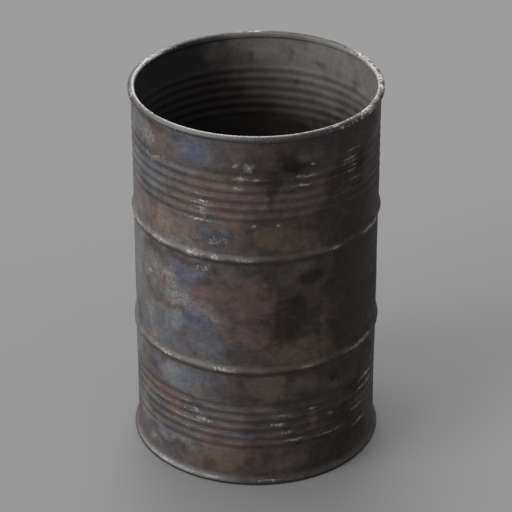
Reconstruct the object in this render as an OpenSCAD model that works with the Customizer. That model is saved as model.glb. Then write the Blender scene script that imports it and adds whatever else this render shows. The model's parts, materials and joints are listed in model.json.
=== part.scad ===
// Open-head steel drum. Two sheets: the rolled body, with a curled rim, two
// rolling hoops and two corrugated bands, and the pressed bottom head. The two
// are rolled up together into the bottom chime. The drum stands on z = 0 and
// its axis is the Z axis.

/* [Body] */
// Inside diameter of the plain wall
inner_d = 571.5; // [440:0.5:700]
// Overall height, from the floor to the top of the rim
height = 912; // [740:1:1200]
// Thickness of the body sheet
body_t = 1.2; // [0.8:0.1:1.6]

/* [Rim] */
// Width of the hollow curl that ends the wall, across the wall
curl_w = 15.4; // [13:0.1:20]
// Height of the curl
curl_h = 13.2; // [11:0.1:18]
// Radius of the curl's four corners, to the middle of the sheet
curl_corner_r = 4; // [2.5:0.5:4.5]
// Radius of the bend from the wall into the curl, to the middle of the sheet
neck_bend_r = 8; // [6:0.5:12]

/* [Rolling hoops] */
// Height of the lower hoop's crest above the floor
lower_hoop_rise = 310; // [275:1:340]
// Depth of the upper hoop's crest below the top of the rim
upper_hoop_drop = 309; // [275:1:340]
// How far a hoop stands out of the wall
hoop_out = 5.5; // [2:0.1:9]
// Width of a hoop along the wall
hoop_w = 30; // [20:1:40]

/* [Corrugated bands] */
// Number of grooves in each band
groove_count = 6; // [1:1:7]
// Spacing of the grooves in a band
groove_pitch = 23.2; // [18:0.1:28]
// Depth of a groove below the plain wall
groove_depth = 2.6; // [1:0.1:5]
// Height of the lower band's middle above the floor
lower_band_rise = 156; // [140:1:165]
// Depth of the upper band's middle below the top of the rim
upper_band_drop = 153; // [140:1:165]

/* [Bottom] */
// How far the chime stands out of the plain wall
chime_out = 9.6; // [8:0.1:14]
// Clearance between neighbouring layers of sheet in the chime
layer_gap = 0.1; // [0.05:0.05:0.3]
// Radius of the open core that the layers are rolled around
chime_core_r = 1.5; // [1.2:0.1:1.8]
// Depth worn off the underside of the chime, which leaves a flat land
chime_wear = 0.2; // [0.1:0.05:0.4]
// Thickness of the bottom head's sheet
head_t = 1.2; // [0.8:0.1:1.6]
// Height of the bottom panel's underside above the floor
panel_rise = 19; // [16:0.5:40]
// Radius of the panel's outer corner, to the middle of the sheet
head_corner_r = 8; // [3:0.5:9]

/* [Hidden] */

$fn = 180;
wave_steps = 12;   // straight facets along one hoop or one groove
bend_step = 10;    // degrees of one facet along a bend
roll_step = 10;    // degrees of one facet along the chime's roll

wall_r = inner_d / 2 + body_t / 2;            // middle of the body sheet

// Curl: a hollow square ring with round corners, centred over the wall. Its
// inner side is the upright throat of the mouth.
curl_in = wall_r - (curl_w - body_t) / 2 + curl_corner_r;
curl_out = wall_r + (curl_w - body_t) / 2 - curl_corner_r;
curl_top = height - body_t / 2 - curl_corner_r;
curl_foot = height - curl_h + body_t / 2 + curl_corner_r;
neck_r = wall_r - neck_bend_r;                // centre of the neck's bend
neck_angle = acos((curl_in - neck_r) / (neck_bend_r + curl_corner_r));
neck_z = curl_foot - (neck_bend_r + curl_corner_r) * sin(neck_angle);

// Chime: both sheets follow one spiral, a layer apart
layer = (body_t + head_t) / 2 + layer_gap;
roll_pitch = 2 * layer;
body_roll_r = (chime_out + (body_t - head_t) / 2) / 2;
head_roll_r = body_roll_r + layer;
roll_x = wall_r + body_roll_r;
roll_z = head_roll_r - roll_pitch / 4 + head_t / 2 - chime_wear;
body_turns = (body_roll_r - chime_core_r) / roll_pitch;
head_turns = body_turns + 1 / 4;

// Bottom head
head_wall_r = wall_r - layer;
panel_mid_z = panel_rise + head_t / 2;

// A wave is [height of its foot, length of one swell, number of swells, rise]
waves = [
    band(lower_band_rise),
    hoop(lower_hoop_rise),
    hoop(height - upper_hoop_drop),
    band(height - upper_band_drop)
];

function band(z) =
    [z - groove_count * groove_pitch / 2, groove_pitch, groove_count, -groove_depth];

function hoop(z) = [z - hoop_w / 2, hoop_w, 1, hoop_out];

function reversed(list) = [for (i = [len(list) - 1 : -1 : 0]) list[i]];

// Points on a circle of radius r about [x, z], from angle a to angle b
function arc(x, z, r, a, b, step) =
    let (n = ceil(abs(b - a) / step))
    [for (i = [0 : n]) let (c = a + (b - a) * i / n) [x + r * cos(c), z + r * sin(c)]];

// One face of a wavy stretch of wall, at a distance off from the sheet's middle
function wave_face(w, off) =
    [for (i = [0 : wave_steps * w[2]])
        let (phase = 360 * i / wave_steps,
             slope = w[3] * PI / w[1] * sin(phase),
             lean = off / sqrt(1 + slope * slope))
        [wall_r + w[3] * (1 - cos(phase)) / 2 + lean,
         w[0] + w[1] * i / wave_steps - lean * slope]];

// One face of the roll, from its inner end out to the wall, cut by the floor
function roll_face(r, turns, off) =
    let (n = ceil(360 * turns / roll_step))
    [for (i = [n : -1 : 0])
        let (turn = turns * i / n,
             a = 180 + 360 * turn,
             reach = r - roll_pitch * turn - off)
        [roll_x + reach * cos(a), max(0, roll_z + reach * sin(a))]];

function body_face(off) = concat(
    roll_face(body_roll_r, body_turns, off),
    [for (w = waves) each wave_face(w, off)],
    arc(neck_r, neck_z, neck_bend_r + off, 0, neck_angle, bend_step),
    arc(curl_in, curl_foot, curl_corner_r - off, 180 + neck_angle, 180, bend_step),
    arc(curl_in, curl_top, curl_corner_r - off, 180, 90, bend_step),
    arc(curl_out, curl_top, curl_corner_r - off, 90, 0, bend_step),
    arc(curl_out, curl_foot, curl_corner_r - off, 0, -90, bend_step),
    [[wall_r, curl_foot - curl_corner_r + off]]
);

function head_face(off) = concat(
    roll_face(head_roll_r, head_turns, off),
    arc(head_wall_r - head_corner_r, panel_mid_z - head_corner_r,
        head_corner_r + off, 0, 90, bend_step),
    [[0, panel_mid_z + off]]
);

// Turns a sheet's two faces, joined at their ends, about the drum's axis
module spun_sheet(right_face, left_face) {
    rotate_extrude() polygon(concat(right_face, reversed(left_face)));
}

// Rolled and seam-welded body, from the chime's roll up to the curl
module body_shell() {
    color("#5b4d47") spun_sheet(body_face(body_t / 2), body_face(-body_t / 2));
}

// Pressed disc whose side wall goes down into the chime's roll
module bottom_head() {
    color("#463a35") spun_sheet(head_face(head_t / 2), head_face(-head_t / 2));
}

body_shell();
bottom_head();
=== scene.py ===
import json
import math
from collections import namedtuple
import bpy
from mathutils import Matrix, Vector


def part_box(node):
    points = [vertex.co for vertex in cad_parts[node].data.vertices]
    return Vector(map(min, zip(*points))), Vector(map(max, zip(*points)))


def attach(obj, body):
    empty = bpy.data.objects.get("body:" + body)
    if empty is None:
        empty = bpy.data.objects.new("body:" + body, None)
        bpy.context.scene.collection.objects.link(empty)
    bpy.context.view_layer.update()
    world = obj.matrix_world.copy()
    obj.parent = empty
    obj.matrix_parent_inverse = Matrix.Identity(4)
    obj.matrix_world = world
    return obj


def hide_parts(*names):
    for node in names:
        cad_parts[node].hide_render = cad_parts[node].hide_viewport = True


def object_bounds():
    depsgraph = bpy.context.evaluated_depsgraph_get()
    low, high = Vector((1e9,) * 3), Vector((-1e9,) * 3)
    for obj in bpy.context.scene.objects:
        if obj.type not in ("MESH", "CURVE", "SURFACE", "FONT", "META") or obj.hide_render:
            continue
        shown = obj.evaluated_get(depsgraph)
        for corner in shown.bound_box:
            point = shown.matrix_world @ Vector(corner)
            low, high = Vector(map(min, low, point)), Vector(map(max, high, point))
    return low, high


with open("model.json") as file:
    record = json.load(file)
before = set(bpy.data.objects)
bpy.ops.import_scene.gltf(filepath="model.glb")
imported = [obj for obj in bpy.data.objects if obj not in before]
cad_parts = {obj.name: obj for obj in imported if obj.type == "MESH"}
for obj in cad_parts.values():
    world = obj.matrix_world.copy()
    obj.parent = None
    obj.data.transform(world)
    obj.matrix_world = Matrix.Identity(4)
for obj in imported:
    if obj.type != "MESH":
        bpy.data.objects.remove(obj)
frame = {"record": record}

from types import SimpleNamespace

import bmesh
import bpy
import numpy as np
from mathutils import Vector, noise

# An open-head steel drum, burnt and weathered. Lengths are in metres and angles in degrees.
# An azimuth is 0 towards the camera (-Y) and 90 towards +X.

CAD_LOW, CAD_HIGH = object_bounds()
MOUTH = next(m for m in frame["record"]["mounts"] if m["name"] == "mouth")

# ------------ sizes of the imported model

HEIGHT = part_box("body_shell")[1].z
CHIME_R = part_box("bottom_head")[1].x
THROAT_R = MOUTH["dims"]["r_mm"] / 1000
SHEET = 0.0012
CURL_W = 0.0154
CURL_H = 0.0132
CURL_CORNER_R = 0.004
NECK_BEND_R = 0.008
WALL_R = THROAT_R + CURL_W / 2          # middle of the body's sheet
WALL_OUT = WALL_R + SHEET / 2

GROOVE_COUNT = 6
GROOVE_PITCH = 0.0232
GROOVE_DEPTH = 0.0026
HOOP_W = 0.030
HOOP_OUT = 0.0055
LOWER_BAND_Z = 0.156
LOWER_HOOP_Z = 0.310
UPPER_HOOP_Z = HEIGHT - 0.309
UPPER_BAND_Z = HEIGHT - 0.153

LAYER = SHEET + 0.0001                  # from one layer of the chime to the next
ROLL_PITCH = 2 * LAYER
CHIME_CORE_R = 0.0015
BODY_ROLL_R = (CHIME_R - SHEET / 2 - WALL_R) / 2
HEAD_ROLL_R = BODY_ROLL_R + LAYER
CHIME_WEAR = 0.0002
ROLL_X = WALL_R + BODY_ROLL_R
ROLL_Z = HEAD_ROLL_R - ROLL_PITCH / 4 + SHEET / 2 - CHIME_WEAR
BODY_TURNS = (BODY_ROLL_R - CHIME_CORE_R) / ROLL_PITCH
HEAD_TURNS = BODY_TURNS + 1 / 4
HEAD_WALL_R = WALL_R - LAYER
HEAD_CORNER_R = 0.008
PANEL_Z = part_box("bottom_head")[1].z - SHEET / 2

CRUST_TOP_Z = 0.028
CRUST_FOOT_Z = 0.0098
CRUST_W = 0.0070
CRUST_SUNK = 0.0003
CRUST_HOLLOW = 2.4                      # power of its slope: 1 is straight, more is hollower
CRUST_BACK = (50, 165)                  # angles round the chime's roll where its hidden back lies

# A wavy stretch of the wall: its lowest height, the length of one swell, how many swells, and how
# far they stand out.
Wave = namedtuple("Wave", "foot swell count rise")


def band(z):
    """The wave of a corrugated band about a height."""
    return Wave(z - GROOVE_COUNT * GROOVE_PITCH / 2, GROOVE_PITCH, GROOVE_COUNT, -GROOVE_DEPTH)


def hoop(z):
    """The wave of a rolling hoop about a height."""
    return Wave(z - HOOP_W / 2, HOOP_W, 1, HOOP_OUT)


WAVES = [band(LOWER_BAND_Z), hoop(LOWER_HOOP_Z), hoop(UPPER_HOOP_Z), band(UPPER_BAND_Z)]

# ------------ mesh resolution

SEGMENTS = 236          # columns round the drum
GROOVE_STEPS = 6        # points along one groove
HOOP_STEPS = 14         # points along one hoop
PLAIN_STEP = 0.014      # spacing on the plain wall
BEND_STEP = 18          # degrees along a bend of the curl
BODY_ROLL_STEP = 18     # degrees along the hidden flange
HEAD_ROLL_STEP = 12     # degrees along the chime's outside
PANEL_RINGS = 14        # rings across the flat bottom
CRUST_STEPS = 6         # points down the bead over the chime
CRUST_BACK_STEP = 23    # degrees along the bead's hidden back
WELD_DISTANCE = 1e-6    # points as close as this become one, such as those on the axis


# ------------ the sheets' sections


def arc(x, z, radius, start, end, step):
    """Points [r, z] on a circle about (x, z), from angle start to angle end."""
    count = math.ceil(abs(end - start) / step)
    angles = [math.radians(start + (end - start) * i / count) for i in range(count + 1)]
    return [(x + radius * math.cos(a), z + radius * math.sin(a)) for a in angles]


def wave_face(wave, off):
    """One face of a wavy stretch of wall, at a distance off from the sheet's middle."""
    steps = HOOP_STEPS if wave.count == 1 else GROOVE_STEPS
    points = []
    for i in range(steps * wave.count + 1):
        phase = 2 * math.pi * i / steps
        slope = wave.rise * math.pi / wave.swell * math.sin(phase)
        lean = off / math.hypot(1, slope)
        swell = wave.rise * (1 - math.cos(phase)) / 2
        points.append((WALL_R + swell + lean, wave.foot + wave.swell * i / steps - lean * slope))
    return points


def plain_face(low, high, off):
    """The points between the two ends of a plain stretch of wall."""
    count = max(1, round((high - low) / PLAIN_STEP))
    return [(WALL_R + off, low + (high - low) * i / count) for i in range(1, count)]


def roll_face(radius, turns, off, step):
    """One face of the chime's roll, from its inner end out to the wall, worn flat where it stands."""
    count = math.ceil(360 * turns / step)
    points = []
    for i in range(count, -1, -1):
        turn = turns * i / count
        a = math.pi + 2 * math.pi * turn
        reach = radius - ROLL_PITCH * turn - off
        points.append((ROLL_X + reach * math.cos(a), max(0, ROLL_Z + reach * math.sin(a))))
    return points


def body_face(off):
    """One face of the body's sheet, from inside the chime up the wall and round the curl."""
    curl_in = THROAT_R + SHEET / 2 + CURL_CORNER_R
    curl_out = THROAT_R + CURL_W - SHEET / 2 - CURL_CORNER_R
    curl_top = HEIGHT - SHEET / 2 - CURL_CORNER_R
    curl_foot = HEIGHT - CURL_H + SHEET / 2 + CURL_CORNER_R
    neck_r = WALL_R - NECK_BEND_R
    neck_angle = math.acos((curl_in - neck_r) / (NECK_BEND_R + CURL_CORNER_R))
    neck_z = curl_foot - (NECK_BEND_R + CURL_CORNER_R) * math.sin(neck_angle)
    turn = math.degrees(neck_angle)
    points = roll_face(BODY_ROLL_R, BODY_TURNS, off, BODY_ROLL_STEP)
    z = ROLL_Z
    for wave in WAVES:
        points += plain_face(z, wave.foot, off) + wave_face(wave, off)
        z = wave.foot + wave.swell * wave.count
    points += plain_face(z, neck_z, off)
    points += arc(neck_r, neck_z, NECK_BEND_R + off, 0, turn, BEND_STEP)
    points += arc(curl_in, curl_foot, CURL_CORNER_R - off, 180 + turn, 180, BEND_STEP)
    points += arc(curl_in, curl_top, CURL_CORNER_R - off, 180, 90, BEND_STEP)
    points += arc(curl_out, curl_top, CURL_CORNER_R - off, 90, 0, BEND_STEP)
    points += arc(curl_out, curl_foot, CURL_CORNER_R - off, 0, -90, BEND_STEP)
    return points + [(WALL_R, curl_foot - CURL_CORNER_R + off)]


def head_face(off):
    """One face of the bottom's sheet, from inside the chime up its side wall and in to the axis."""
    corner_r = HEAD_WALL_R - HEAD_CORNER_R
    points = roll_face(HEAD_ROLL_R, HEAD_TURNS, off, HEAD_ROLL_STEP)
    points += arc(corner_r, PANEL_Z - HEAD_CORNER_R, HEAD_CORNER_R + off, 0, 90, BEND_STEP)
    ring_radii = [corner_r * (1 - i / PANEL_RINGS) for i in range(1, PANEL_RINGS + 1)]
    return points + [(r, PANEL_Z + off) for r in ring_radii]


def crust_face():
    """The bead of packed rust in the crevice over the chime: a concave slope, closed behind."""
    slope = []
    for i in range(CRUST_STEPS + 1):
        t = i / CRUST_STEPS
        r = WALL_OUT - CRUST_SUNK + CRUST_W * t ** CRUST_HOLLOW
        slope.append((r, CRUST_TOP_Z - (CRUST_TOP_Z - CRUST_FOOT_Z) * t))
    return slope + arc(ROLL_X, ROLL_Z, HEAD_ROLL_R - LAYER, *CRUST_BACK, CRUST_BACK_STEP)


# ------------ dents and wear of the shape

SEAM_AZIMUTH = -100     # the body's welded seam
SEAM_OFFSETS = (-0.0065, -0.0035, -0.0015, 0, 0.0015, 0.0035, 0.0065)
SEAM_CLEAR = 0.009      # no even column lies closer to the seam than this
SEAM_PROUD = 0.0005
SEAM_SPREAD = 0.0028
SEAM_END = 0.020        # where it runs out at the chime and at the rim
SEAM_FADE = 0.010

FOOT_HELD = 0.030       # the chime holds the wall round up to here
FOOT_FREE = 0.150       # and the wall is free of it from here
TOP_REACH = 0.300       # how far down from the rim its bends reach
HOOP_REACH = 0.012      # how far from a hoop its own unevenness reaches
TINY = 1e-9             # keeps the points on the axis from dividing by 0

# An uneven stretch of wall: its depth, the size of its swells, how much of it the rim takes away,
# and the seed of its noise.
Warp = namedtuple("Warp", "depth size held seed")
WARPS = [
    Warp(0.0013, 0.23, 0.6, 1),
    Warp(0.0004, 0.07, 0.4, 2),
]
HOOP_WARP = Warp(0.0011, 0.035, 0, 3)

# A broad bend of the rim: how far it goes, and its azimuth and width in degrees.
Bend = namedtuple("Bend", "reach azimuth width")
BENT_OUT = Bend(0.0018, 158, 28)
BENT_IN = Bend(0.0050, -142, 34)
BENT_DOWN = Bend(0.0020, -148, 40)

# A dent: the azimuth and height of its middle, its radius, and its depth.
Dent = namedtuple("Dent", "azimuth height size depth")
DENTS = [
    # broad shallow ones in the wall
    (38, 0.800, 0.060, 0.0030),
    (-62, 0.560, 0.070, 0.0025),
    (62, 0.470, 0.090, 0.0040),
    (12, 0.440, 0.110, 0.0025),
    (-35, 0.400, 0.060, 0.0018),
    (150, 0.500, 0.120, 0.0045),
    (-140, 0.730, 0.080, 0.0030),
    (110, 0.250, 0.070, 0.0025),
    # knocks in the rolling hoops
    (-82, UPPER_HOOP_Z, 0.024, 0.0030),
    (-28, UPPER_HOOP_Z, 0.016, 0.0012),
    (27, UPPER_HOOP_Z, 0.020, 0.0018),
    (78, UPPER_HOOP_Z, 0.030, 0.0024),
    (-52, LOWER_HOOP_Z, 0.018, 0.0014),
    (44, LOWER_HOOP_Z, 0.022, 0.0022),
    (63, LOWER_HOOP_Z, 0.016, 0.0018),
    (128, LOWER_HOOP_Z, 0.024, 0.0022),
    (-150, UPPER_HOOP_Z, 0.024, 0.0020),
    # knocks in the rim
    (-84, HEIGHT, 0.014, 0.0022),
    (-52, HEIGHT, 0.018, 0.0010),
    (48, HEIGHT, 0.014, 0.0018),
    (74, HEIGHT, 0.012, 0.0022),
    (88, HEIGHT, 0.012, 0.0022),
    (108, HEIGHT, 0.014, 0.0026),
    (131, HEIGHT, 0.012, 0.0018),
    (-122, HEIGHT, 0.020, 0.0016),
    (-170, HEIGHT, 0.016, 0.0014),
]


def smooth(x):
    """0 at 0 and below, 1 at 1 and above."""
    x = np.clip(x, 0, 1)
    return x * x * (3 - 2 * x)


def bent(azimuths, bend):
    """How far a bend goes at some azimuths: its whole reach in its middle, and less to each side."""
    turn = (azimuths - bend.azimuth + 180) % 360 - 180
    return bend.reach * np.exp(-((turn / bend.width) ** 2))


def noise_at(points, scale, seed):
    """Smooth noise from about -1 to 1, with swells of about scale metres."""
    shift = Vector((seed * 7.3, seed * 3.1, seed * 5.7))
    return np.array([noise.noise(Vector(p) / scale + shift) for p in points])


def dented(points):
    """How far each point is moved by the dents, inwards and at the rim downwards too."""
    shift = np.zeros_like(points)
    for row in DENTS:
        dent = Dent(*row)
        in_wall = dent.height < HEIGHT
        a = math.radians(dent.azimuth)
        outward = np.array([math.sin(a), -math.cos(a), 0])
        centre = outward * (WALL_R + (HOOP_OUT if in_wall else CURL_W / 2))
        centre[2] = dent.height
        away = np.linalg.norm(points - centre, axis=1) / dent.size
        blow = outward if in_wall else (outward + [0, 0, 1]) / math.sqrt(2)
        shift -= (dent.depth * np.exp(-(away ** 2)))[:, None] * blow
    return shift


def worn(points):
    """Where the points of a true drum lie on the knocked and warped one."""
    x, y, z = points.T
    azimuths = np.degrees(np.arctan2(x, -y))
    outward = np.stack([x, y, np.zeros_like(x)], 1)
    outward /= np.maximum(np.linalg.norm(outward, axis=1, keepdims=True), TINY)
    free = smooth((z - FOOT_HELD) / (FOOT_FREE - FOOT_HELD))
    top = smooth((z - HEIGHT + TOP_REACH) / TOP_REACH)
    hooped = sum(np.exp(-(((z - h) / HOOP_REACH) ** 2)) for h in (LOWER_HOOP_Z, UPPER_HOOP_Z))
    push = np.zeros_like(z)
    for warp in WARPS:
        push += free * (1 - warp.held * top) * warp.depth * noise_at(points, warp.size, warp.seed)
    push += hooped * HOOP_WARP.depth * noise_at(points, HOOP_WARP.size, HOOP_WARP.seed)
    push += top * (bent(azimuths, BENT_OUT) - bent(azimuths, BENT_IN))
    moved = points + outward * push[:, None] + dented(points)
    moved[:, 2] -= top * bent(azimuths, BENT_DOWN)
    return moved


def seam_lift(azimuths, z):
    """How far each face of the body stands out along its welded seam."""
    along = np.radians(azimuths - SEAM_AZIMUTH) * WALL_R
    on_wall = smooth((z - SEAM_END) / SEAM_FADE) * smooth((HEIGHT - SEAM_END - z) / SEAM_FADE)
    return SEAM_PROUD * np.exp(-((along / SEAM_SPREAD) ** 2)) * on_wall


# ------------ lathing a sheet


def column_azimuths():
    """Even columns round the drum, and closer ones at the welded seam."""
    seam = [SEAM_AZIMUTH + math.degrees(s / WALL_R) for s in SEAM_OFFSETS]
    even = [360 * i / SEGMENTS - 180 for i in range(SEGMENTS)]
    clear = math.degrees(SEAM_CLEAR / WALL_R)
    return sorted(seam + [a for a in even if abs(a - SEAM_AZIMUTH) > clear])


def sheet_section(face):
    """A sheet's closed section, up one face and back down the other, and each point's side of it."""
    outer, inner = face(SHEET / 2), face(-SHEET / 2)
    return outer + inner[::-1], [1] * len(outer) + [-1] * len(inner)


def body_inside(point, side):
    """1 for a strip of the body's section that faces the inside of the drum, and 0 for the rest."""
    r, z = point
    return int(side < 0 and (r < THROAT_R + CURL_CORNER_R or z < HEIGHT - CURL_H))


def head_inside(point, side):
    """1 for a strip of the head's section that faces the inside of the drum, and 0 for the rest."""
    return int(side > 0 and point[1] > PANEL_Z - HEAD_CORNER_R)


def ring(section, sides, inside, seam):
    """A closed section turned round the Z axis and worn: its points, faces and the faces' slots."""
    azimuths = np.array(column_azimuths())
    a = np.radians(azimuths)[:, None]
    shape = (len(azimuths), len(section))
    r = np.broadcast_to(np.array(section)[:, 0], shape)
    z = np.broadcast_to(np.array(section)[:, 1], shape)
    if seam:
        r = r + np.array(sides) * seam_lift(azimuths[:, None], z)
    points = worn(np.stack([r * np.sin(a), -r * np.cos(a), z], -1).reshape(-1, 3))
    columns, rows = shape
    quads = []
    for i in range(columns):
        j = (i + 1) % columns
        for k in range(rows):
            m = (k + 1) % rows
            quads.append((i * rows + k, i * rows + m, j * rows + m, j * rows + k))
    slots = [inside(point, side) for point, side in zip(section, sides)] * columns
    return points, quads, slots


def make_piece(name, rings):
    """A piece made of some rings, which rides on the body root."""
    points, quads, slots = [], [], []
    for ring_points, ring_quads, ring_slots in rings:
        quads += [[len(points) + k for k in quad] for quad in ring_quads]
        points += ring_points.tolist()
        slots += ring_slots
    mesh = bpy.data.meshes.new(name)
    mesh.from_pydata(points, [], quads)
    mesh.polygons.foreach_set("material_index", slots)
    welded = bmesh.new()
    welded.from_mesh(mesh)
    bmesh.ops.remove_doubles(welded, verts=welded.verts, dist=WELD_DISTANCE)
    bmesh.ops.recalc_face_normals(welded, faces=welded.faces)
    welded.to_mesh(mesh)
    welded.free()
    mesh.shade_smooth()
    piece = bpy.data.objects.new(name, mesh)
    bpy.context.scene.collection.objects.link(piece)
    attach(piece, "root")
    return piece


# ------------ where the colours lie

# A patch is an ellipse on the wall: azimuth, height, half its width, half its height, and how far
# its right end is turned up.
Patch = namedtuple("Patch", "azimuth height wide tall turn", defaults=[0])

# blue-grey scale from the fire
BLUE_SCALE = [
    (-28, 0.860, 0.094, 0.050),
    (-57, 0.765, 0.080, 0.060, -20),
    (-38, 0.806, 0.065, 0.016),
    (-34, 0.552, 0.064, 0.042),
    (-28, 0.425, 0.056, 0.046),
    (-22, 0.365, 0.068, 0.050, -25),
    (-46, 0.365, 0.080, 0.048, -25),
    (-33, 0.262, 0.054, 0.044, -40),
    (-52, 0.262, 0.046, 0.036, -40),
    (-22, 0.268, 0.026, 0.022),
    (-25, 0.178, 0.036, 0.036),
    (-5, 0.126, 0.046, 0.018),
    (-45, 0.092, 0.030, 0.018),
    (-22, 0.665, 0.056, 0.036),
    (-118, 0.700, 0.090, 0.060),
    (-150, 0.420, 0.110, 0.080),
    (165, 0.800, 0.100, 0.060),
    (120, 0.520, 0.090, 0.060),
    (-110, 0.230, 0.080, 0.050),
]

# dull red-brown rust
RED_RUST = [
    (-2, 0.495, 0.086, 0.078, 20),
    (-20, 0.505, 0.036, 0.056),
    (0, 0.400, 0.060, 0.060),
    (-54, 0.674, 0.060, 0.040),
    (-42, 0.654, 0.120, 0.040),
    (-10, 0.742, 0.180, 0.062),
    (24, 0.740, 0.070, 0.050),
    (27, 0.625, 0.045, 0.026),
    (40, 0.250, 0.060, 0.044),
    (-52, 0.440, 0.060, 0.018),
    (-50, 0.200, 0.090, 0.040),
    (8, 0.198, 0.060, 0.030),
    (-12, 0.100, 0.110, 0.070),
    (150, 0.300, 0.120, 0.070),
    (-170, 0.620, 0.120, 0.060),
    (95, 0.730, 0.100, 0.050),
]

# lighter rust, nearer to orange
ORANGE_RUST = [
    (6, 0.265, 0.070, 0.046),
    (22, 0.352, 0.110, 0.052),
    (14, 0.655, 0.090, 0.040),
    (35, 0.420, 0.030, 0.060),
    (-55, 0.190, 0.040, 0.024),
    (-30, 0.045, 0.046, 0.022),
    (-15, 0.070, 0.056, 0.040),
    (26, 0.165, 0.032, 0.024),
    (-16, 0.793, 0.060, 0.024),
    (-35, 0.722, 0.044, 0.020),
    (-58, 0.500, 0.018, 0.026),
    (170, 0.120, 0.120, 0.050),
    (-120, 0.540, 0.060, 0.050),
]

# brown-black soot, most of it on the right
SOOT = [
    (13, 0.845, 0.050, 0.046),
    (9, 0.785, 0.026, 0.085),
    (18, 0.470, 0.062, 0.074),
    (27, 0.548, 0.060, 0.046),
    (42, 0.350, 0.060, 0.050),
    (10, 0.430, 0.074, 0.064),
    (95, 0.480, 0.330, 0.700),
    (55, 0.540, 0.185, 0.560),
    (50, 0.080, 0.150, 0.080),
    (42, 0.775, 0.070, 0.080),
    (72, 0.430, 0.110, 0.200),
    (64, 0.260, 0.120, 0.090),
    (76, 0.480, 0.080, 0.180),
    (64, 0.870, 0.100, 0.050),
]

# the blackest burns
CHAR = [
    (82, 0.420, 0.140, 0.300),
    (56, 0.200, 0.070, 0.060),
    (56, 0.800, 0.070, 0.060),
    (66, 0.300, 0.080, 0.080),
    (48, 0.140, 0.090, 0.050),
    (42, 0.262, 0.050, 0.034),
    (17, 0.832, 0.060, 0.040),
]

# dark grey smears over the rust and scale
SMUDGES = [
    (-21, 0.655, 0.056, 0.032, 10),
    (-22, 0.572, 0.050, 0.024),
    (-8, 0.355, 0.066, 0.056),
    (-74, 0.165, 0.060, 0.060),
    (-32, 0.578, 0.130, 0.020),
    (-6, 0.578, 0.070, 0.020),
    (-22, 0.535, 0.040, 0.026),
    (-58, 0.262, 0.034, 0.030),
    (-56, 0.565, 0.070, 0.040),
    (-37, 0.055, 0.040, 0.030),
    (-61, 0.715, 0.050, 0.024),
    (-42, 0.796, 0.040, 0.016, -10),
    (-56, 0.135, 0.060, 0.040),
    (-28, 0.190, 0.070, 0.030),
    (-50, 0.888, 0.060, 0.018),
    (-38, 0.802, 0.050, 0.022),
    (-24, 0.530, 0.040, 0.030),
    (-72, 0.350, 0.050, 0.050),
]

# pale grey ash, most of it on the left
ASH = [
    (-79, 0.480, 0.110, 0.420),
    (-64, 0.862, 0.060, 0.036),
    (-56, 0.385, 0.100, 0.100),
    (-46, 0.622, 0.110, 0.024),
    (-58, 0.520, 0.080, 0.070),
    (-24, 0.450, 0.040, 0.016),
    (-68, 0.140, 0.090, 0.080),
    (-78, 0.862, 0.080, 0.064),
    (-38, 0.262, 0.090, 0.050, -40),
    (-44, 0.500, 0.110, 0.060),
    (-42, 0.408, 0.080, 0.034),
    (-42, 0.650, 0.120, 0.030),
    (-36, 0.470, 0.060, 0.040),
    (-42, 0.074, 0.050, 0.022),
    (-150, 0.800, 0.110, 0.050),
]

# paint flaked and scuffed to a pale grey
SCUFFS = [
    (-57, 0.850, 0.056, 0.034),
    (-54, 0.809, 0.070, 0.012),
    (-47, 0.522, 0.052, 0.034, -30),
    (-41, 0.470, 0.046, 0.070, 20),
    (-60, 0.505, 0.034, 0.024),
    (-26, 0.574, 0.040, 0.020, 25),
    (-20, 0.646, 0.044, 0.016),
    (-26, 0.722, 0.030, 0.030, 30),
    (-69, 0.575, 0.056, 0.020),
    (-57, 0.055, 0.024, 0.022, -30),
]

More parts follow.
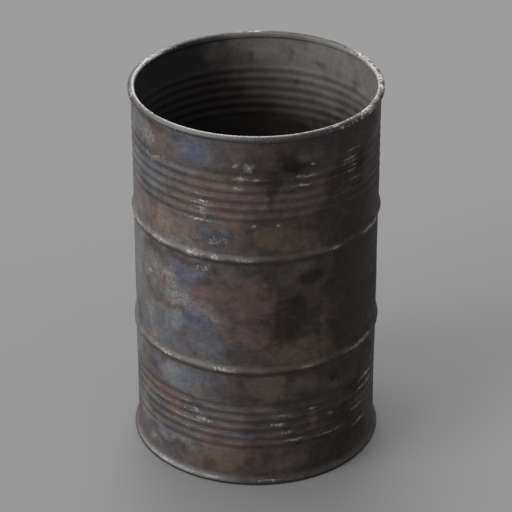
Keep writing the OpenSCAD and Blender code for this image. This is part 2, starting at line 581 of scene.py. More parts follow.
# bare metal knocked bright
CHIPS = [
    # on the upper wall and the corrugations
    (-3, 0.836, 0.022, 0.019),
    (-9, 0.840, 0.012, 0.010),
    (-7, 0.807, 0.026, 0.009),
    (0, 0.807, 0.014, 0.007),
    (-8, 0.784, 0.028, 0.009),
    (26, 0.832, 0.010, 0.005),
    (24, 0.804, 0.044, 0.006),
    (21, 0.785, 0.036, 0.005),
    (50, 0.834, 0.044, 0.0035),
    (48, 0.813, 0.040, 0.0035),
    (51, 0.791, 0.022, 0.0035),
    (20, 0.808, 0.020, 0.006),
    (-27, 0.694, 0.052, 0.005),
    (-24, 0.713, 0.026, 0.004),
    (-27, 0.723, 0.030, 0.004),
    (-23, 0.732, 0.014, 0.003),
    (-25, 0.742, 0.022, 0.004),
    (-1, 0.691, 0.012, 0.007),
    (10, 0.691, 0.009, 0.005),
    (-25, 0.162, 0.046, 0.014),
    (10, 0.162, 0.034, 0.008),
    (13, 0.185, 0.028, 0.006),
    (28, 0.190, 0.026, 0.006),
    (14, 0.138, 0.034, 0.007),
    (18, 0.114, 0.060, 0.007),
    (-30, 0.185, 0.022, 0.006),
    (38, 0.160, 0.014, 0.006),
    (65, 0.204, 0.044, 0.008),
    (70, 0.180, 0.050, 0.006),
    (74, 0.157, 0.040, 0.006),
    (60, 0.090, 0.070, 0.006),
    (70, 0.286, 0.020, 0.005),
    (76, 0.268, 0.026, 0.006),
    (66, 0.262, 0.016, 0.004),
    (79, 0.244, 0.024, 0.005),
    (72, 0.236, 0.024, 0.005),
    (77, 0.216, 0.024, 0.006),
    (56, 0.137, 0.050, 0.005),
    (36, 0.110, 0.070, 0.005),
    # on the hoops
    (-30, 0.606, 0.044, 0.016),
    (-18, 0.606, 0.024, 0.012),
    (-5, 0.606, 0.040, 0.008),
    (-70, 0.607, 0.100, 0.012),
    (-50, 0.607, 0.060, 0.010),
    (38, 0.606, 0.040, 0.006),
    (66, 0.606, 0.080, 0.008),
    (-15, 0.313, 0.060, 0.010),
    (-46, 0.313, 0.100, 0.009),
    (24, 0.313, 0.040, 0.006),
    (58, 0.313, 0.110, 0.008),
    (140, 0.606, 0.080, 0.010),
    (-140, 0.313, 0.090, 0.010),
    (-115, 0.606, 0.070, 0.010),
    # on the chime's shoulder
    (-46, 0.011, 0.080, 0.007),
    (-20, 0.012, 0.040, 0.005),
    (6, 0.012, 0.050, 0.004),
    (130, 0.011, 0.100, 0.006),
]

# where the corrugations' ridges are worn in long bright lines
WORN_RIDGES = [
    (-42, 0.160, 0.170, 0.090),
    (64, 0.190, 0.120, 0.080),
    (48, 0.790, 0.060, 0.050),
    (-30, 0.735, 0.080, 0.040),
]

# the palest blue-grey scale
BLOOM = [
    (-42, 0.264, 0.046, 0.034, -25),
    (-74, 0.770, 0.060, 0.050),
    (-76, 0.862, 0.040, 0.030),
    (-74, 0.530, 0.036, 0.050),
    (-50, 0.096, 0.040, 0.022, -25),
    (-40, 0.412, 0.044, 0.024),
    (-74, 0.262, 0.030, 0.036),
]

# pale rust over the upper hoop
BLUSH = [
    (-46, 0.662, 0.130, 0.040),
    (-58, 0.676, 0.050, 0.036),
    (-30, 0.640, 0.040, 0.018),
]

# light brown dust
CLAY = [
    (-8, 0.864, 0.050, 0.030),
    (24, 0.860, 0.050, 0.026),
    (24, 0.578, 0.060, 0.030),
    (24, 0.262, 0.050, 0.040),
    (24, 0.355, 0.060, 0.034),
    (14, 0.062, 0.090, 0.034),
    (-24, 0.803, 0.050, 0.024),
    (8, 0.197, 0.060, 0.030),
    (10, 0.138, 0.060, 0.034),
    (40, 0.640, 0.050, 0.034),
]

# small spots of red rust among the scuffs
EMBER = [
    (-27, 0.498, 0.030, 0.034),
    (-50, 0.500, 0.020, 0.030),
]

# the faded side, on the left and round the back; on the left it also stands for the lit side, with
# stronger painted highlights there and painted shade away from it
FADED_AND_LIT = [
    (-62, 0.460, 0.420, 1.300),
    (150, 0.460, 0.360, 1.200),
]

# where the top of the rim has no worn bright line with its painted highlight, and where it has less of it
RIM_DULL = [
    (176, HEIGHT, 0.330, 0.100),
]
RIM_SPENT = [
    (58, HEIGHT, 0.240, 0.100),
    (-54, HEIGHT, 0.080, 0.100),
]

# where the face of the rim is worn pale and given a painted highlight, and where the chime's shoulder has
# its painted highlight line
RIM_PALE = [
    (-32, HEIGHT, 0.230, 0.080),
]
CHIME_PALE = [
    (-50, 0.011, 0.150, 0.060),
    (-30, 0.011, 0.120, 0.060),
]

# bare metal knocked bright in the rim
RIM_CHIPS = [
    (60, HEIGHT, 0.080, 0.026),
    (42, HEIGHT, 0.050, 0.018),
    (92, HEIGHT, 0.080, 0.040),
    (118, HEIGHT, 0.120, 0.040),
    (-80, HEIGHT, 0.060, 0.030),
    (-122, HEIGHT, 0.100, 0.040),
    (178, HEIGHT, 0.050, 0.020),
]

# brown spots inside, under the mouth
INNER_STAINS = [
    (-164, 0.846, 0.024, 0.026),
    (-178, 0.835, 0.020, 0.022),
    (-171, 0.876, 0.016, 0.012),
    (165, 0.864, 0.020, 0.022),
    (148, 0.846, 0.030, 0.018),
    (125, 0.835, 0.036, 0.022),
    (158, 0.780, 0.030, 0.030),
    (136, 0.745, 0.040, 0.020),
    (110, 0.700, 0.070, 0.050),
]

# rust inside, further down
INNER_RUST = [
    (-164, 0.735, 0.080, 0.060),
    (-178, 0.700, 0.080, 0.050),
    (-152, 0.780, 0.070, 0.060),
    (140, 0.705, 0.060, 0.026),
    (160, 0.670, 0.060, 0.030),
]

# where the inside's painted shadow is thinner, with a little painted light
INNER_LIT_GAPS = [
    (-168, 0.884, 0.090, 0.050),
    (178, 0.850, 0.060, 0.022),
    (142, 0.843, 0.110, 0.024),
    (143, 0.740, 0.120, 0.080),
]

# painted shadow inside, on the left wall
INNER_SHADOW = [
    (-104, 0.560, 0.545, 1.100),
]


# ------------ colours and where zones begin


def colour(red, green, blue):
    return (red, green, blue, 1)


DARK_BROWN = colour(0.048, 0.037, 0.032)
WARM_BROWN = colour(0.076, 0.057, 0.049)
FADED_GREY = colour(0.112, 0.102, 0.100)
FADED_BROWN = colour(0.130, 0.108, 0.100)
DULL_GREY = colour(0.088, 0.078, 0.074)
COOL_TINT = colour(0.90, 1.00, 1.10)
WARM_TINT = colour(1.12, 0.98, 0.90)
GROOVE_DIRT = colour(0.036, 0.029, 0.027)
RIDGE_WEAR_AND_HIGHLIGHT = colour(0.190, 0.176, 0.166)
SCUFFED_PAINT = colour(0.320, 0.300, 0.284)
CREASE_SHADE = colour(0.026, 0.021, 0.019)
FOOT_SHADE = colour(0.020, 0.017, 0.016)
HOOP_WEAR_AND_HIGHLIGHT = colour(0.180, 0.168, 0.158)
RIM_SIDE_SHADE = colour(0.046, 0.043, 0.044)
RIM_FACE = colour(0.056, 0.053, 0.054)
RIM_WEAR_AND_HIGHLIGHT = colour(0.248, 0.254, 0.265)
CHIME_WEAR_AND_HIGHLIGHT = colour(0.150, 0.140, 0.132)
CHIME_HIGHLIGHT = colour(0.400, 0.430, 0.460)
RUBBED_CREAM = colour(0.240, 0.207, 0.184)
BARE_METAL_AND_HIGHLIGHT = colour(0.58, 0.56, 0.53)
PIT_BLACK = colour(0.022, 0.019, 0.018)

INNER_DEEP = colour(0.056, 0.046, 0.043)
INNER_GREY = colour(0.215, 0.203, 0.192)
INNER_BROWN = colour(0.110, 0.085, 0.075)
INNER_LIT_PALE = colour(0.330, 0.312, 0.296)
INNER_SHADE_BLACK = colour(0.019, 0.017, 0.017)
INNER_SPECK = colour(0.040, 0.032, 0.030)
INNER_GROOVE = colour(0.050, 0.044, 0.041)

# A coat of rust, scale or dirt: its patches, the seed of its noise, its colour, how much it covers,
# the size of its swells, how soon it is full, and a second colour that it turns to in places.
Coat = namedtuple("Coat", "patches seed paint cover swell full second", defaults=[0.034, 0.80, None])

OUTER_COATS = {
    "ash": Coat(ASH, 10, colour(0.178, 0.174, 0.170), 0.92, full=1.00),
    "red": Coat(RED_RUST, 11, colour(0.134, 0.092, 0.083), 0.80, full=1.05),
    "orange": Coat(ORANGE_RUST, 12, colour(0.146, 0.106, 0.082), 0.65),
    "blue": Coat(BLUE_SCALE, 13, colour(0.116, 0.122, 0.172), 0.82, full=1.10,
                 second=colour(0.124, 0.140, 0.158)),
    "bloom": Coat(BLOOM, 16, colour(0.178, 0.190, 0.210), 0.70),
    "blush": Coat(BLUSH, 19, colour(0.215, 0.178, 0.168), 0.60, swell=0.026, full=1.4),
    "clay": Coat(CLAY, 18, colour(0.150, 0.116, 0.102), 0.50, swell=0.022, full=1.5),
    "ember": Coat(EMBER, 17, colour(0.165, 0.090, 0.080), 0.50, swell=0.018),
    "darkening": Coat(SOOT, 14, colour(0.035, 0.0248, 0.0210), 0.86, full=1.3),
    "char": Coat(CHAR, 20, colour(0.0125, 0.0112, 0.0108), 0.52, full=1.5),
    "smudges": Coat(SMUDGES, 15, colour(0.046, 0.041, 0.042), 0.62, swell=0.022, full=1.5),
}
INNER_RUST_COAT = Coat(INNER_RUST, 26, colour(0.062, 0.038, 0.033), 0.60, full=1.3)
INNER_STAIN_COAT = Coat(INNER_STAINS, 25, colour(0.078, 0.052, 0.046), 0.64, swell=0.018, full=1.7)

# heights over which one zone of the wall turns into the next
RIM_SIDE_Z = (HEIGHT - 0.0135, HEIGHT - 0.0120)
RIM_FACE_Z = (HEIGHT - 0.0070, HEIGHT - 0.0025)
RIM_TOP_Z = (HEIGHT - 0.0030, HEIGHT - 0.0006)
INNER_RIM_Z = (HEIGHT - 0.0070, HEIGHT - 0.0040)
RUBBED_Z = (0.30, 0.70)
CHIME_Z = (0.0120, 0.0240)
CHIME_LINE_Z = (0.0100, 0.0165)
SHOULDER_Z = (0.0065, 0.0105)
FOOT_Z = (0.0055, 0.0098)
INNER_LIGHT_Z = (0.60, 0.86)

# radii over which they do
RIM_TOP_RADII = (WALL_R - 0.0045, WALL_R + 0.0020)
INNER_WALL_RADII = (0.20, 0.27)

# the worn pale line with its painted highlight lies above a hoop's middle, and the painted shade under it
CREST_RISE, CREST_REACH = 0.0072, 0.0080
CREASE_DROP, CREASE_REACH = 0.0070, 0.0105

# the size of the noise that pushes patches about, and how far it does
PATCH_DRIFT = (0.060, 0.028)
CHIP_DRIFT = (0.020, 0.003)
STREAK_SQUASH = 6       # how much longer streaks are round the drum than up it

RUST_ROUGH = 0.78
BARE_ROUGH = 0.38
BARE_METALLIC = 0.40
STEEL_GLOSS = 0.35
SOOT_GLOSS = 0.10


# ------------ materials


class Graph:
    """Short calls that add nodes to a material."""

    def __init__(self, name):
        self.material = bpy.data.materials.new(name)
        self.material.use_nodes = True
        self.tree = self.material.node_tree
        self.tree.nodes.clear()

    def add(self, kind, inputs=(), **settings):
        """A new node, with its settings and inputs, where an input is a constant or another's output."""
        made = self.tree.nodes.new(kind)
        for key, value in settings.items():
            setattr(made, key, value)
        for socket, value in dict(inputs).items():
            self.put(made.inputs[socket], value)
        return made

    def put(self, socket, value):
        """Links an output to a socket, or sets the socket to a constant."""
        if isinstance(value, bpy.types.NodeSocket):
            self.tree.links.new(value, socket)
        else:
            socket.default_value = value

    def math(self, operation, *values):
        made = self.add("ShaderNodeMath", operation=operation)
        for socket, value in zip(made.inputs, values):
            self.put(socket, value)
        return made.outputs[0]

    def vector(self, operation, one, other):
        return self.add("ShaderNodeVectorMath", {0: one, 1: other}, operation=operation).outputs[0]

    def times(self, *values):
        """The product of some values."""
        product = values[0]
        for value in values[1:]:
            product = self.math("MULTIPLY", product, value)
        return product

    def most(self, *values):
        """The largest of some values."""
        top = values[0]
        for value in values[1:]:
            top = self.math("MAXIMUM", top, value)
        return top

    def total(self, start, *terms):
        """A value plus some others, each of which is given with its weight."""
        for value, weight in terms:
            start = self.math("ADD", start, self.times(value, weight))
        return start

    def invert(self, value):
        """1 where a value is 0, and 0 where it is 1."""
        return self.math("SUBTRACT", 1, value)

    def noise(self, vector, size, seed, detail=5, rough=0.6, twist=0.0):
        """Noise about 0, mostly from -1 to 1, with swells of about size metres."""
        shift = (seed * 0.73, seed * 0.31, seed * 0.57)
        inputs = {
            "Vector": self.vector("ADD", vector, shift),
            "Scale": 1 / size,
            "Detail": detail,
            "Roughness": rough,
            "Distortion": twist,
        }
        made = self.add("ShaderNodeTexNoise", inputs).outputs["Fac"]
        return self.math("MULTIPLY_ADD", made, 5, -2.5)

    def step(self, value, low, high):
        """0 where value is low and 1 where it is high, turning smoothly between."""
        inputs = {"Value": value, "From Min": low, "From Max": high}
        made = self.add("ShaderNodeMapRange", inputs, interpolation_type="SMOOTHSTEP")
        return made.outputs["Result"]

    def span(self, value, low, high):
        """A value from -1 to 1 stretched from low to high."""
        inputs = {"Value": value, "From Min": -1, "To Min": low, "To Max": high}
        return self.add("ShaderNodeMapRange", inputs).outputs["Result"]

    def mix(self, made, under, over, mask):
        """The result of a mix node, given its three inputs."""
        for socket, value in zip([s for s in made.inputs if s.enabled], (mask, under, over)):
            self.put(socket, value)
        return next(s for s in made.outputs if s.enabled)

    def layer(self, under, over, mask):
        """One colour over another, where the mask is 1."""
        return self.mix(self.add("ShaderNodeMix", data_type="RGBA"), under, over, mask)

    def blend(self, under, over, mask):
        """One value over another, where the mask is 1."""
        return self.mix(self.add("ShaderNodeMix"), under, over, mask)

    def shade(self, paint, factor):
        """A colour made lighter or darker by a factor."""
        return self.add("ShaderNodeHueSaturation", {"Color": paint, "Value": factor}).outputs[0]

    def warm(self, paint, value):
        """A colour made redder where the value is 1 and bluer where it is -1."""
        return self.vector("MULTIPLY", paint, self.layer(COOL_TINT, WARM_TINT, self.span(value, 0, 1)))

    def patches(self, spread, patches):
        """1 at the middle of each patch, falling evenly to 0 at its edge."""
        shapes = []
        for patch in wrapped(patches):
            inputs = {
                "Vector": spread,
                "Location": (math.radians(patch.azimuth) * WALL_R, patch.height, 0),
                "Rotation": (0, 0, math.radians(patch.turn)),
                "Scale": (patch.wide, patch.tall, 1),
            }
            placed = self.add("ShaderNodeMapping", inputs, vector_type="TEXTURE").outputs[0]
            ball = self.add("ShaderNodeTexGradient", {"Vector": placed}, gradient_type="SPHERICAL")
            shapes.append(ball.outputs["Fac"])
        return self.most(*shapes)

    def finish(self, paint, metal, rough, height, gloss):
        """Ends the material in a shader, with bumps of a height in millimetres."""
        bump = self.add("ShaderNodeBump", {"Distance": 0.001, "Height": height}).outputs["Normal"]
        inputs = {
            "Base Color": paint,
            "Metallic": metal,
            "Roughness": rough,
            "Normal": bump,
            "Specular IOR Level": gloss,
        }
        shader = self.add("ShaderNodeBsdfPrincipled", inputs)
        self.add("ShaderNodeOutputMaterial", {"Surface": shader.outputs[0]})
        return self.material


def wrapped(patches):
    """The patches, with a second copy of each that reaches past the back, at azimuth 180."""
    for row in patches:
        patch = Patch(*row)
        yield patch
        reach = math.degrees(max(patch.wide, patch.tall) / WALL_R) + 10
        if abs(patch.azimuth) + reach > 180:
            yield patch._replace(azimuth=patch.azimuth - math.copysign(360, patch.azimuth))


class Wall:
    """Where a point of the drum lies, in space and on the unrolled wall."""

    def __init__(self, g):
        self.place = g.add("ShaderNodeTexCoord").outputs["Object"]
        axes = g.add("ShaderNodeSeparateXYZ", {"Vector": self.place}).outputs
        x, y, self.height = axes["X"], axes["Y"], axes["Z"]
        self.radius = g.math("SQRT", g.math("ADD", g.times(x, x), g.times(y, y)))
        along = g.times(g.math("ARCTAN2", x, g.times(y, -1)), WALL_R)
        self.flat = g.add("ShaderNodeCombineXYZ", {"X": along, "Y": self.height}).outputs[0]
        self.drifted = self.moved(g, *PATCH_DRIFT)
        self.squashed = g.vector("MULTIPLY", self.place, (1, 1, STREAK_SQUASH))

    def moved(self, g, size, reach):
        """The spot on the unrolled wall, pushed about by noise of a size, mostly less far than reach."""
        inputs = {"Vector": self.place, "Scale": 1 / size, "Detail": 4}
        drift = g.add("ShaderNodeTexNoise", inputs).outputs["Color"]
        drift = g.vector("SUBTRACT", drift, (0.5, 0.5, 0.5))
        full = 4 * reach            # the noise is mostly within a quarter of its middle
        drift = g.vector("MULTIPLY", drift, (full, 0.7 * full, 0))
        return g.vector("ADD", self.flat, drift)


def near(g, height, z, reach):
    """1 at a height and 0 further than reach from it."""
    away = g.math("ABSOLUTE", g.math("SUBTRACT", height, z))
    return g.invert(g.step(away, 0.1 * reach, reach))


def corrugation(g, height):
    """1 on the ridges of the two corrugated bands and -1 in their grooves, 0 elsewhere."""
    waves = []
    for wave in WAVES[0], WAVES[3]:
        turns = g.times(g.math("SUBTRACT", height, wave.foot), 2 * math.pi / wave.swell)
        centre = wave.foot + wave.swell * wave.count / 2
        within = near(g, height, centre, wave.swell * (wave.count / 2 + 0.35))
        waves.append(g.times(g.math("COSINE", turns), g.step(within, 0, 0.15)))
    return g.math("ADD", *waves)


def cloud(g, wall, coat):
    """Where a coat lies: full in the middle of its patches and broken up towards their edge."""
    ragged = g.noise(wall.place, coat.swell, coat.seed, detail=6, rough=0.72, twist=0.4)
    shape = g.patches(wall.drifted, coat.patches)
    broken = g.step(g.total(0, (shape, 1.6), (ragged, 0.42)), 0.05, coat.full)
    return g.times(broken, g.step(shape, 0, 0.12))


def covered(g, wall, noises, coat, paint):
    """The paint with a coat over it, and where the coat lies."""
    over = coat.paint
    if coat.second:
        over = g.layer(coat.paint, coat.second, g.step(noises.coarse, -0.4, 0.4))
    mask = cloud(g, wall, coat)
    return g.layer(paint, over, g.times(mask, coat.cover)), mask


def steel_noises(g, wall, broadest, seed):
    """Noises from the broadest swells down to grains, with the seeds after the one given."""
    return SimpleNamespace(
        coarse=g.noise(wall.place, broadest, seed + 1),
        medium=g.noise(wall.place, 0.040, seed + 2, rough=0.65, twist=0.5),
        fine=g.noise(wall.place, 0.015, seed + 3, rough=0.7, twist=0.3),
        grain=g.noise(wall.place, 0.0065, seed + 4, detail=3, rough=0.7),
    )


def rim_wear_and_highlight(g, wall, noises):
    """1 where the rim's top is worn bright, a line that is also a painted highlight."""
    dull = g.patches(wall.drifted, RIM_DULL)
    spent = g.patches(wall.drifted, RIM_SPENT)
    return g.step(g.total(noises.grain, (noises.fine, 0.6), (dull, -4), (spent, -1.1)), -1.4, 0.0)


def pocked(g, noises, low, high):
    """1 in small spots, fewer and smaller the higher low and high are."""
    return g.step(g.total(noises.grain, (noises.fine, 0.5)), low, high)


# ------------ the outside's steel


def outer_noises(g, wall):
    """The noises that break up the outside."""
    noises = steel_noises(g, wall, broadest=0.110, seed=0)
    noises.tint = g.noise(wall.place, 0.050, 5, detail=6, rough=0.65, twist=0.6)
    noises.streak = g.noise(wall.squashed, 0.045, 6, rough=0.7)
    noises.fleck = g.noise(wall.place, 0.0036, 7, detail=2, rough=0.6)
    noises.flake = g.noise(wall.place, 0.013, 8, detail=7, rough=0.86, twist=0.8)
    return noises


def outer_zones(g, wall, noises):
    """The parts of the outside that are worn in their own ways, each 1 where it lies, and how pale the
    worn edges and their painted highlights are.
    """
    corrugated = corrugation(g, wall.height)
    hoops = (LOWER_HOOP_Z, UPPER_HOOP_Z)
    low_down = g.invert(g.step(wall.height, *CHIME_Z))
    inward = g.invert(g.step(wall.radius, *RIM_TOP_RADII))
    faded = g.total(g.patches(wall.drifted, FADED_AND_LIT), (noises.coarse, 0.12))
    faded_and_lit = g.step(faded, 0.1, 0.6)
    return SimpleNamespace(
        ridge=g.step(corrugated, 0.45, 1.0),
        groove=g.step(g.times(corrugated, -1), 0.1, 1.0),
        crest=g.most(*[near(g, wall.height, z + CREST_RISE, CREST_REACH) for z in hoops]),
        crease=g.most(*[near(g, wall.height, z - CREASE_DROP, CREASE_REACH) for z in hoops]),
        rim=g.step(wall.height, *RIM_SIDE_Z),
        rim_top=g.times(g.step(wall.height, *RIM_TOP_Z), inward),
        shoulder=g.times(low_down, g.step(wall.height, *SHOULDER_Z)),
        foot=g.invert(g.step(wall.height, *FOOT_Z)),
        faded_and_lit=faded_and_lit,
        paleness=g.span(faded_and_lit, -0.40, 0.80),
    )


def burnt_paint(g, noises, zones):
    """The burnt steel under all the coats: brown-black, and greyer on the faded side."""
    paint = g.layer(DARK_BROWN, WARM_BROWN, g.step(noises.coarse, -0.5, 0.5))
    faded = g.layer(FADED_GREY, FADED_BROWN, g.step(noises.medium, -0.6, 0.6))
    paint = g.layer(paint, faded, zones.faded_and_lit)
    return g.layer(paint, DULL_GREY, g.times(g.step(noises.fine, 0.0, 1.0), 0.5))


def coated(g, wall, noises, paint):
    """The paint with the outside's coats over it, and where each coat lies."""
    masks = {}
    for name, coat in OUTER_COATS.items():
        paint, masks[name] = covered(g, wall, noises, coat, paint)
    return paint, masks


def mottled(g, noises, zones, paint):
    """The paint with an uneven warmth and shade, darker on the right as painted shade, dirt in its
    grooves, and its ridges worn pale with a painted highlight.
    """
    paint = g.warm(paint, noises.tint)
    shade = g.total(1, (noises.medium, 0.26), (noises.fine, 0.20), (noises.grain, 0.07),
                    (noises.streak, 0.10), (g.times(noises.fleck, zones.faded_and_lit), 0.21))
    # darker away from the faded, lit left side: painted shade on the right
    paint = g.shade(paint, g.times(shade, g.blend(0.71, 0.90, zones.faded_and_lit)))
    paint = g.layer(paint, GROOVE_DIRT, g.times(zones.groove, g.span(noises.streak, 0.10, 0.80)))
    # ridges worn pale with a painted highlight, stronger on the lit side
    ridge_wear_and_highlight = g.times(zones.ridge, g.step(noises.streak, -0.8, 0.9), g.span(zones.faded_and_lit, -0.5, 0.8))
    return g.layer(paint, RIDGE_WEAR_AND_HIGHLIGHT, ridge_wear_and_highlight)


def scuffed(g, wall, noises, zones, paint):
    """The paint with pale scuffs and specks in it."""
    scuffs = g.patches(wall.drifted, SCUFFS)
    flaked = g.total(0, (scuffs, 0.75), (noises.flake, 0.85), (noises.fleck, 0.45))
    flaked = g.times(g.step(flaked, 0.50, 0.95), g.step(scuffs, 0.0, 0.2))
    specks = g.step(g.total(noises.grain, (noises.medium, 0.3)), 0.90, 1.20)
    specks = g.times(specks, g.math("ADD", zones.faded_and_lit, 0.05))
    return g.layer(paint, SCUFFED_PAINT, g.most(g.times(flaked, 0.80), g.times(specks, 0.50)))


def edged(g, wall, noises, zones, paint):
    """The paint with painted shade under the hoops, under the rim's curl and at the foot, and the hoops,
    rim and chime worn pale with painted highlights.
    """
    # painted shade in the crease under each hoop
    paint = g.layer(paint, CREASE_SHADE, g.times(zones.crease, g.span(noises.fine, 0.35, 0.85)))
    # painted shade on the chime's foot, next to the floor
    paint = g.layer(paint, FOOT_SHADE, g.times(zones.foot, 0.85))
    # the hoops' upper flanks and the chime's shoulder worn pale with a painted highlight, stronger on the
    # lit side
    edge_wear_and_highlight = g.times(zones.paleness, g.span(noises.fine, 0.4, 1.0))
    paint = g.layer(paint, HOOP_WEAR_AND_HIGHLIGHT, g.times(zones.crest, edge_wear_and_highlight))
    # the curl's lower side darker as painted shade, and its face paler where worn and as a painted
    # highlight
    face = g.step(wall.height, *RIM_FACE_Z)
    rim_paint = g.layer(RIM_SIDE_SHADE, RIM_FACE, face)
    rim_paint = g.layer(rim_paint, RIM_WEAR_AND_HIGHLIGHT, g.times(face, g.patches(wall.drifted, RIM_PALE)))
    paint = g.layer(paint, rim_paint, g.times(zones.rim, g.span(noises.fine, 0.55, 0.95)))
    # the chime's shoulder worn pale with a painted highlight, and a brighter painted highlight line along
    # it
    paint = g.layer(paint, CHIME_WEAR_AND_HIGHLIGHT, g.times(zones.shoulder, edge_wear_and_highlight))
    line = g.times(zones.shoulder, g.invert(g.step(wall.height, *CHIME_LINE_Z)))
    line = g.times(line, g.patches(wall.drifted, CHIME_PALE), g.span(noises.fine, 0.3, 1.0))
    return g.layer(paint, CHIME_HIGHLIGHT, line)


def chipped_metal(g, noises, zones, chips, on_chips):
    """1 where the chips are bright."""
    broken = g.total(chips, (noises.streak, 0.20), (noises.grain, 0.40), (noises.fleck, 0.35))
    return g.times(g.step(broken, 0.50, 1.25), on_chips, g.blend(0.72, 1.0, zones.faded_and_lit))


def strewn_metal(g, wall, noises, zones):
    """1 in the small bright marks along the ridges, hoops and chime."""
    edges = g.most(zones.ridge, zones.crest, g.times(zones.shoulder, 0.6))
    lines = g.times(zones.ridge, g.patches(wall.drifted, WORN_RIDGES))
    marks = g.total(0, (edges, 0.50), (lines, 0.80), (noises.streak, 0.45), (noises.grain, 0.45))
    return g.step(marks, 1.05, 1.50)


def rim_metal(g, wall, noises, zones):
    """1 where the rim is worn or knocked bright, the top's worn line also a painted highlight."""
    knocks = g.patches(wall.drifted, RIM_CHIPS)
    knocked = g.total(noises.grain, (knocks, 1.6), (noises.fine, 0.6), (noises.fleck, 0.5))
    knocked = g.times(zones.rim, g.step(knocked, 0.8, 1.6))
    return g.most(g.times(zones.rim_top, rim_wear_and_highlight(g, wall, noises)), knocked)


def bared(g, wall, noises, zones, paint):
    """The paint with bright metal knocked through it and the rim top's painted highlight, and where these
    lie.
    """
    chips = g.patches(wall.moved(g, *CHIP_DRIFT), CHIPS)
    on_chips = g.step(chips, 0.0, 0.2)
    rubbed = g.step(g.total(chips, (noises.fine, 0.16), (noises.grain, 0.10)), 0.15, 0.80)
    strength = g.blend(0.12, 0.40, g.step(wall.height, *RUBBED_Z))
    paint = g.layer(paint, RUBBED_CREAM, g.times(rubbed, on_chips, strength))
    bare_and_highlight = g.most(
        chipped_metal(g, noises, zones, chips, on_chips),
        strewn_metal(g, wall, noises, zones),
        rim_metal(g, wall, noises, zones),
    )
    # bright metal from chips and worn marks, and the rim top's painted highlight
    paint = g.layer(paint, BARE_METAL_AND_HIGHLIGHT, g.times(bare_and_highlight, g.blend(0.62, 0.68, zones.rim_top)))
    return paint, bare_and_highlight


def outer_steel(name):
    """Burnt steel: brown-black, with blue scale, rust, sooty patches, pale scuffs, worn bright edges with
    painted highlights, and painted shade under the hoops, the rim's curl and the foot.
    """
    g = Graph(name)
    wall = Wall(g)
    noises = outer_noises(g, wall)
    zones = outer_zones(g, wall, noises)
    paint, coats = coated(g, wall, noises, burnt_paint(g, noises, zones))
    paint = mottled(g, noises, zones, paint)
    paint = scuffed(g, wall, noises, zones, paint)
    paint = edged(g, wall, noises, zones, paint)
    paint, bare_and_highlight = bared(g, wall, noises, zones, paint)
    pits = pocked(g, noises, 0.90, 1.20)
    paint = g.layer(paint, PIT_BLACK, g.times(pits, 0.65))

    rusty = g.most(coats["red"], coats["orange"])
    rough = g.blend(g.span(noises.medium, 0.46, 0.68), RUST_ROUGH, g.times(rusty, 0.5))
    rough = g.blend(rough, BARE_ROUGH, g.times(bare_and_highlight, 0.8))
    metal = g.blend(0.15, BARE_METALLIC, bare_and_highlight)
    height = g.total(0, (noises.medium, 0.22), (noises.fine, 0.16), (noises.grain, 0.08))
    height = g.total(height, (pits, -0.25), (bare_and_highlight, -0.08))
    sooty = g.most(g.times(coats["darkening"], 0.7), coats["char"])
    return g.finish(paint, metal, rough, height, g.blend(STEEL_GLOSS, SOOT_GLOSS, sooty))


# ------------ the inside's steel


def shadowed(g, wall, noises, paint):
    """The inside's paint with painted shadow over its left wall, thinner where the inside is lit, with a
    little painted light there.
    """
    lit_gap = g.patches(wall.drifted, INNER_LIT_GAPS)
    darkening = g.total(g.patches(wall.drifted, INNER_SHADOW), (noises.medium, 0.1), (lit_gap, -0.17))
    darkening = g.times(g.step(darkening, 0.05, 0.55), g.step(wall.radius, *INNER_WALL_RADII))
    # a little painted light where the painted shadow is thinner
    paint = g.layer(paint, INNER_LIT_PALE, g.times(lit_gap, 0.15))
    # painted shadow on the inside's left wall
    return g.layer(paint, INNER_SHADE_BLACK, g.times(darkening, 0.92))


def inner_steel(name):
    """The inside: grey near the mouth and darker below, with stains, specks and painted shadow on its left
    wall.
    """
    g = Graph(name)
    wall = Wall(g)
    noises = steel_noises(g, wall, broadest=0.090, seed=20)
    depth = g.total(wall.height, (noises.medium, 0.030))
    paint = g.layer(INNER_DEEP, INNER_GREY, g.step(depth, *INNER_LIGHT_Z))
    paint = g.layer(paint, INNER_BROWN, g.times(g.step(noises.coarse, -0.2, 0.9), 0.5))
    paint, _ = covered(g, wall, noises, INNER_RUST_COAT, paint)
    paint = shadowed(g, wall, noises, paint)
    paint = g.shade(paint, g.total(1, (noises.medium, 0.14), (noises.fine, 0.10), (noises.grain, 0.06)))
    paint, stained = covered(g, wall, noises, INNER_STAIN_COAT, paint)
    paint = g.layer(paint, INNER_SPECK, g.times(pocked(g, noises, 0.95, 1.25), 0.60))
    groove = g.step(corrugation(g, wall.height), -0.2, 1.0)
    paint = g.layer(paint, INNER_GROOVE, g.times(groove, g.span(noises.medium, -0.1, 0.42)))
    # the rim's inner top worn bright, also a painted highlight
    bare_and_highlight = g.times(g.step(wall.height, *INNER_RIM_Z), rim_wear_and_highlight(g, wall, noises))
    paint = g.layer(paint, BARE_METAL_AND_HIGHLIGHT, g.times(bare_and_highlight, 0.90))

    rough = g.blend(g.span(noises.medium, 0.52, 0.76), BARE_ROUGH, g.times(bare_and_highlight, 0.8))
    metal = g.blend(0.1, BARE_METALLIC, bare_and_highlight)
    height = g.total(0, (noises.medium, 0.22), (noises.fine, 0.14), (noises.grain, 0.07), (stained, 0.10))
    return g.finish(paint, metal, rough, height, STEEL_GLOSS)


# ------------ floor, lamps and camera

FLOOR_HALF = 40
FLOOR_GREY = colour(0.33, 0.33, 0.33)
FLOOR_ROUGH = 0.9
SKY_STRENGTH = 0.43
LENS_MM = 167.2
SENSOR_MM = 36
CAMERA_ELEVATION = 29.19
CAMERA_DISTANCE = 5.649


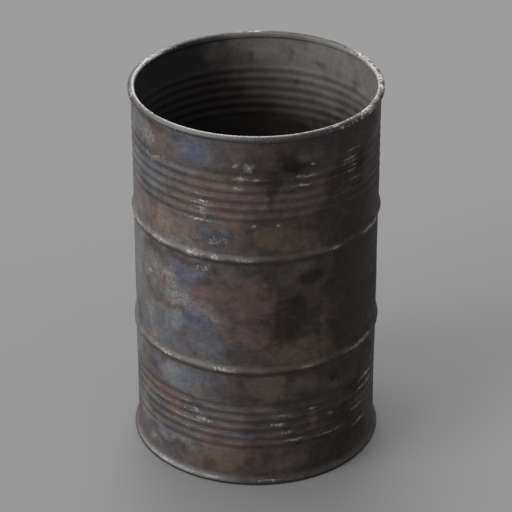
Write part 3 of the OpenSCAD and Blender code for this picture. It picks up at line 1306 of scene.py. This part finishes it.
def make_floor():
    """A wide matt floor at the drum's foot."""
    mesh = bpy.data.meshes.new("floor")
    corners = [(-1, -1), (1, -1), (1, 1), (-1, 1)]
    points = [(x * FLOOR_HALF, y * FLOOR_HALF, CAD_LOW.z) for x, y in corners]
    mesh.from_pydata(points, [], [(0, 1, 2, 3)])
    floor = bpy.data.objects.new("floor", mesh)
    bpy.context.scene.collection.objects.link(floor)
    g = Graph("floor")
    inputs = {"Base Color": FLOOR_GREY, "Roughness": FLOOR_ROUGH}
    shader = g.add("ShaderNodeBsdfPrincipled", inputs)
    g.add("ShaderNodeOutputMaterial", {"Surface": shader.outputs[0]})
    mesh.materials.append(g.material)


def add_sun(name, azimuth, elevation, spread, strength):
    """A soft lamp in the sky at an azimuth and elevation, spread over an angle."""
    lamp = bpy.data.lights.new(name, "SUN")
    lamp.energy = strength
    lamp.angle = math.radians(spread)
    sun = bpy.data.objects.new(name, lamp)
    a, e = math.radians(azimuth), math.radians(elevation)
    towards = Vector((math.sin(a) * math.cos(e), -math.cos(a) * math.cos(e), math.sin(e)))
    sun.rotation_mode = "QUATERNION"
    sun.rotation_quaternion = towards.to_track_quat("Z", "Y")
    bpy.context.scene.collection.objects.link(sun)


def light_scene():
    """Three soft lamps and an even sky."""
    add_sun("key", azimuth=-60, elevation=20, spread=40, strength=1.617)
    add_sun("overhead", azimuth=-150, elevation=65, spread=50, strength=0.705)
    add_sun("back", azimuth=180, elevation=20, spread=40, strength=1.078)
    world = bpy.data.worlds.new("room")
    world.use_nodes = True
    sky = world.node_tree.nodes["Background"]
    sky.inputs["Color"].default_value = colour(1, 1, 1)
    sky.inputs["Strength"].default_value = SKY_STRENGTH
    bpy.context.scene.world = world


def aim_camera():
    """A camera in front of the drum that looks down at the middle of its height."""
    data = bpy.data.cameras.new("camera")
    data.sensor_width = SENSOR_MM
    data.lens = LENS_MM
    camera = bpy.data.objects.new("camera", data)
    bpy.context.scene.collection.objects.link(camera)
    elevation = math.radians(CAMERA_ELEVATION)
    back = Vector((0, -math.cos(elevation), math.sin(elevation)))
    camera.location = Vector((0, 0, HEIGHT / 2)) + back * CAMERA_DISTANCE
    camera.rotation_mode = "QUATERNION"
    camera.rotation_quaternion = back.to_track_quat("Z", "Y")
    bpy.context.scene.camera = camera


# ------------ the scene


bpy.context.scene.view_settings.view_transform = "Standard"
aim_camera()
light_scene()
make_floor()

crust = crust_face()
body = make_piece("drum_body", [
    ring(*sheet_section(body_face), body_inside, seam=True),
    ring(crust, [1] * len(crust), body_inside, seam=False),
])
head = make_piece("drum_bottom", [ring(*sheet_section(head_face), head_inside, seam=False)])
steels = [outer_steel("burnt_steel"), inner_steel("inner_steel")]
for piece in body, head:
    for steel in steels:
        piece.data.materials.append(steel)
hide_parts("body_shell")
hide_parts("bottom_head")
